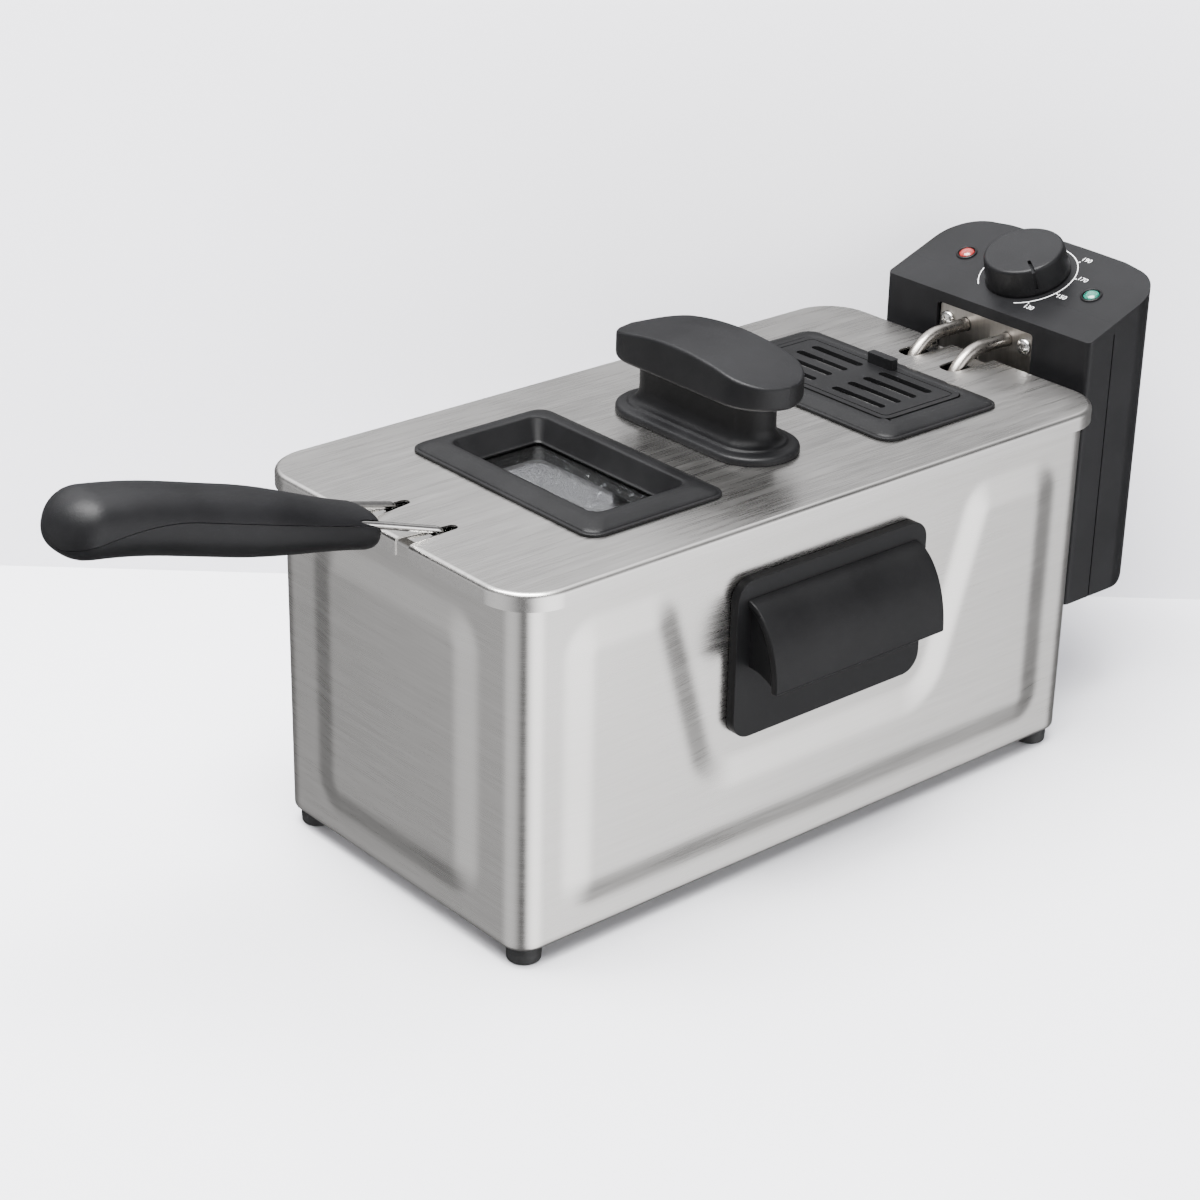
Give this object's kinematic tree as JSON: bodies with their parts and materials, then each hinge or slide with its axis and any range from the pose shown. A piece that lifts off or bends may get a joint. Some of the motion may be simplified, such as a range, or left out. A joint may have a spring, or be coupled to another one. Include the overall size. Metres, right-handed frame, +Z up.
{
  "type": "deep fryer",
  "caption": "Rectangular steel countertop deep fryer with a lift-out pan, frying basket with long folding handle, lid with window and filter, and a rear control unit with immersed element.",
  "frame": {"origin": "on the worktop, under the middle of the whole object's box, basket handle included", "axes": "+Z up, +X from the basket handle towards the control unit, +Y to the far side as seen with the handle on the left"},
  "size_m": [0.6177, 0.2366, 0.2505],
  "materials": {
    "brushed_steel": "satin stainless steel with fine brushing",
    "polished_steel": "smooth bright stainless steel",
    "black_plastic": "matt black heat-proof plastic with a fine moulded grain",
    "soft_black": "soft matt black plastic of the grips",
    "rubber": "matt black rubber",
    "grey_glass": "clear tempered glass",
    "filter_felt": "pale filter felt",
    "red_lens": "translucent red lamp lens",
    "green_lens": "translucent green lamp lens",
    "red_button": "red moulded push button",
    "bare_wire": "bright plated steel wire"
  },
  "bodies": {
    "housing": {"outer_housing": "brushed_steel", "base_plate": "brushed_steel", "foot_front_near": "rubber", "foot_front_far": "rubber", "foot_rear_near": "rubber", "foot_rear_far": "rubber", "side_handle_near": "black_plastic", "handle_screw_near_front": "polished_steel", "handle_screw_near_rear": "polished_steel", "side_handle_far": "black_plastic", "handle_screw_far_front": "polished_steel", "handle_screw_far_rear": "polished_steel", "rear_bracket": "brushed_steel"},
    "oil_pan": {"oil_pan": "polished_steel"},
    "control_unit": {"control_front": "black_plastic", "control_rear": "black_plastic", "control_hanger": "black_plastic", "element_plate": "polished_steel", "plate_screw_near": "polished_steel", "plate_screw_far": "polished_steel", "heating_element": "polished_steel", "sensor_bulb": "polished_steel", "sensor_capillary": "bare_wire", "thermostat": "polished_steel", "terminal_block": "rubber", "interlock_switch": "rubber", "thermal_cutout": "polished_steel", "lamp_ring_red": "black_plastic", "lamp_red": "red_lens", "lamp_ring_green": "black_plastic", "lamp_green": "green_lens", "inlet_bush": "rubber"},
    "control_knob": {"dial_knob": "black_plastic", "dial_shaft": "polished_steel"},
    "reset_button": {"reset_button": "red_button"},
    "basket": {"basket_mesh": "bare_wire", "basket_rim": "bare_wire", "basket_rib_front": "bare_wire", "basket_rib_rear": "bare_wire", "handle_bracket": "polished_steel"},
    "basket_handle": {"grip_upper": "soft_black", "grip_lower": "soft_black", "handle_wire_near": "bare_wire", "handle_wire_far": "bare_wire"},
    "lid": {"lid_sheet": "brushed_steel", "window_frame": "black_plastic", "window_glass": "grey_glass", "filter_frame": "black_plastic", "filter_mat": "filter_felt", "knob_screw_near": "polished_steel", "knob_screw_far": "polished_steel", "lid_knob": "soft_black"},
    "filter_cover": {"filter_cover": "black_plastic"}
  },
  "joints": [
    {"name": "pan_lift", "type": "slide", "parent": "housing", "child": "oil_pan", "axis": [0, 0, 1], "range_m": [0, 0.18]},
    {"name": "control_lift", "type": "slide", "parent": "oil_pan", "child": "control_unit", "axis": [0, 0, 1], "range_m": [0, 0.16]},
    {"name": "basket_lift", "type": "slide", "parent": "control_unit", "child": "basket", "axis": [0, 0, 1], "range_m": [0, 0.14]},
    {"name": "lid_lift", "type": "slide", "parent": "basket", "child": "lid", "axis": [0, 0, 1], "range_m": [0, 0.08]},
    {"name": "handle_fold", "type": "hinge", "parent": "basket", "child": "basket_handle", "pos_m": [-0.11845, 0, 0.178], "axis": [0, 1, 0], "range_deg": [0, 36]},
    {"name": "cover_swing", "type": "hinge", "parent": "lid", "child": "filter_cover", "pos_m": [0.11965, 0, 0.1931], "axis": [0, -1, 0], "range_deg": [0, 80]},
    {"name": "dial_turn", "type": "hinge", "parent": "control_unit", "child": "control_knob", "pos_m": [0.27703, 0, 0.22096], "axis": [-0.342, 0, 0.9397], "range_deg": [-100, 125]},
    {"name": "button_press", "type": "slide", "parent": "control_unit", "child": "reset_button", "axis": [-1, 0, 0], "range_m": [0, 0.002], "stiffness_N_per_m": 300}
  ]
}
